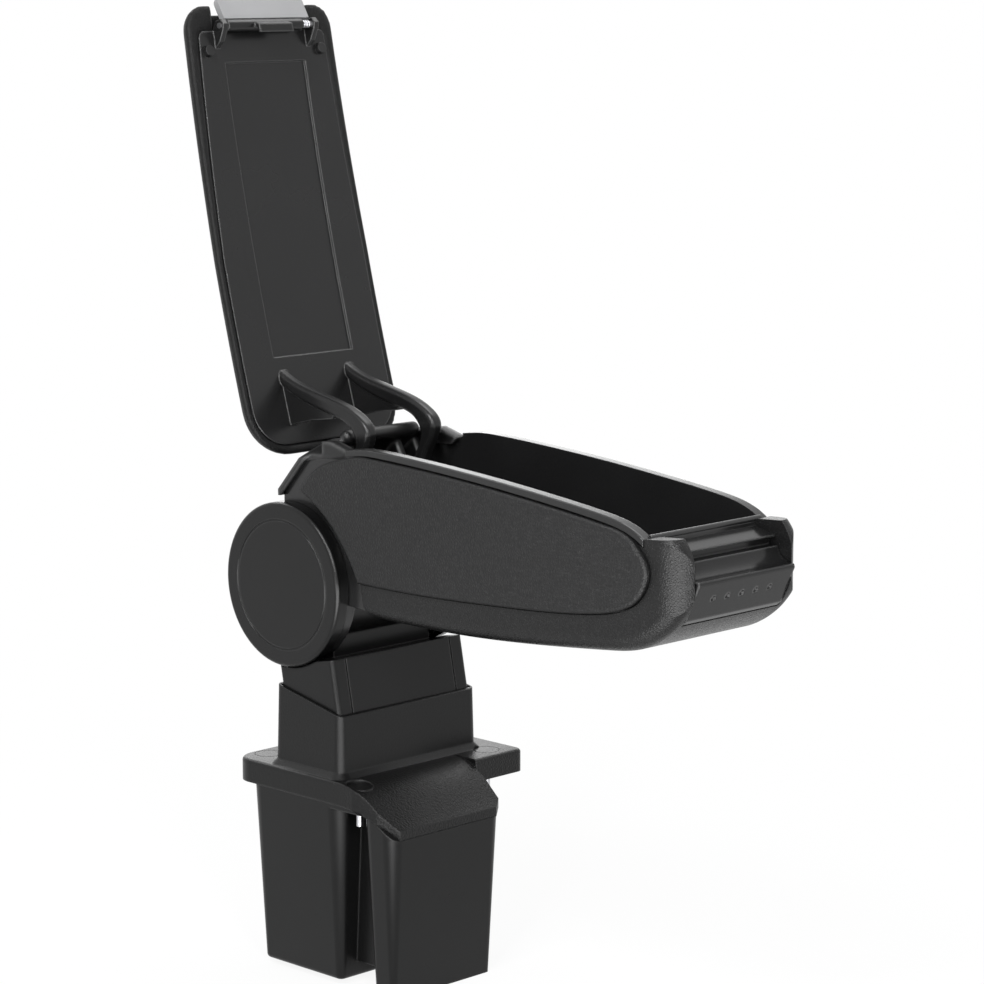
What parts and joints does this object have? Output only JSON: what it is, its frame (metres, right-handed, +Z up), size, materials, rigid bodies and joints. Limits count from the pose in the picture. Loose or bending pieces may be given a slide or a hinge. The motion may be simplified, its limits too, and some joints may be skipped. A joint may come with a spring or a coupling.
{
  "type": "car centre armrest",
  "caption": "Car centre armrest: storage arm with a padded hinged lid and latch, folding up on a post with a flanged console insert.",
  "frame": {"origin": "on the insert's foot plane, straight below the arm pivot, at the middle of the arm's width", "axes": "+X to the front of the car, +Y to the left, +Z up"},
  "size_m": [0.3631, 0.124, 0.5239],
  "materials": {
    "base_plastic": "fine satin moulding",
    "shell_plastic": "fine satin moulding",
    "panel_plastic": "grained",
    "bin_plastic": "smooth satin",
    "trim_plastic": "semi-gloss",
    "liner_plastic": "satin",
    "pad_leather": "soft grained",
    "latch_plastic": "light grey satin",
    "bumper_rubber": "matt",
    "friction_ring": "smooth",
    "bush_plastic": "smooth",
    "steel": "zinc plated"
  },
  "bodies": {
    "base": {"insert_tub": "base_plastic", "base_flange": "base_plastic", "console_screws": "steel", "screw_plugs": "base_plastic", "post_housing": "base_plastic", "post_front_panel": "base_plastic", "post_screws": "steel", "pivot_axle": "steel", "axle_nut": "steel", "axle_washers": "steel", "friction_rings": "friction_ring"},
    "arm": {"bin_body": "bin_plastic", "lower_shell": "shell_plastic", "side_panel_left": "panel_plastic", "side_panel_right": "panel_plastic", "front_catch": "trim_plastic", "pivot_cap_left": "shell_plastic", "pivot_cap_right": "shell_plastic", "hinge_cover": "trim_plastic", "pivot_bushes": "bush_plastic", "hinge_pins": "steel", "shell_screws": "steel"},
    "lid": {"lid_frame": "liner_plastic", "lid_pad": "pad_leather", "lid_bumpers": "bumper_rubber", "latch_pin": "steel", "latch_spring": "steel"},
    "latch": {"latch_lever": "trim_plastic", "latch_plate": "latch_plastic"}
  },
  "joints": [
    {"name": "arm_fold", "type": "hinge", "parent": "base", "child": "arm", "pos_m": [0, 0, 0.213], "axis": [0, -1, 0], "range_deg": [0, 85]},
    {"name": "lid_close", "type": "hinge", "parent": "arm", "child": "lid", "pos_m": [0.019, 0, 0.2665], "axis": [0, 1, 0], "range_deg": [0, 109]},
    {"name": "latch_lift", "type": "hinge", "parent": "lid", "child": "latch", "pos_m": [-0.06386, 0, 0.50777], "axis": [0, -1, 0], "range_deg": [0, 10], "stiffness_Nm_per_rad": 0.05, "springref_deg": -11.46}
  ]
}
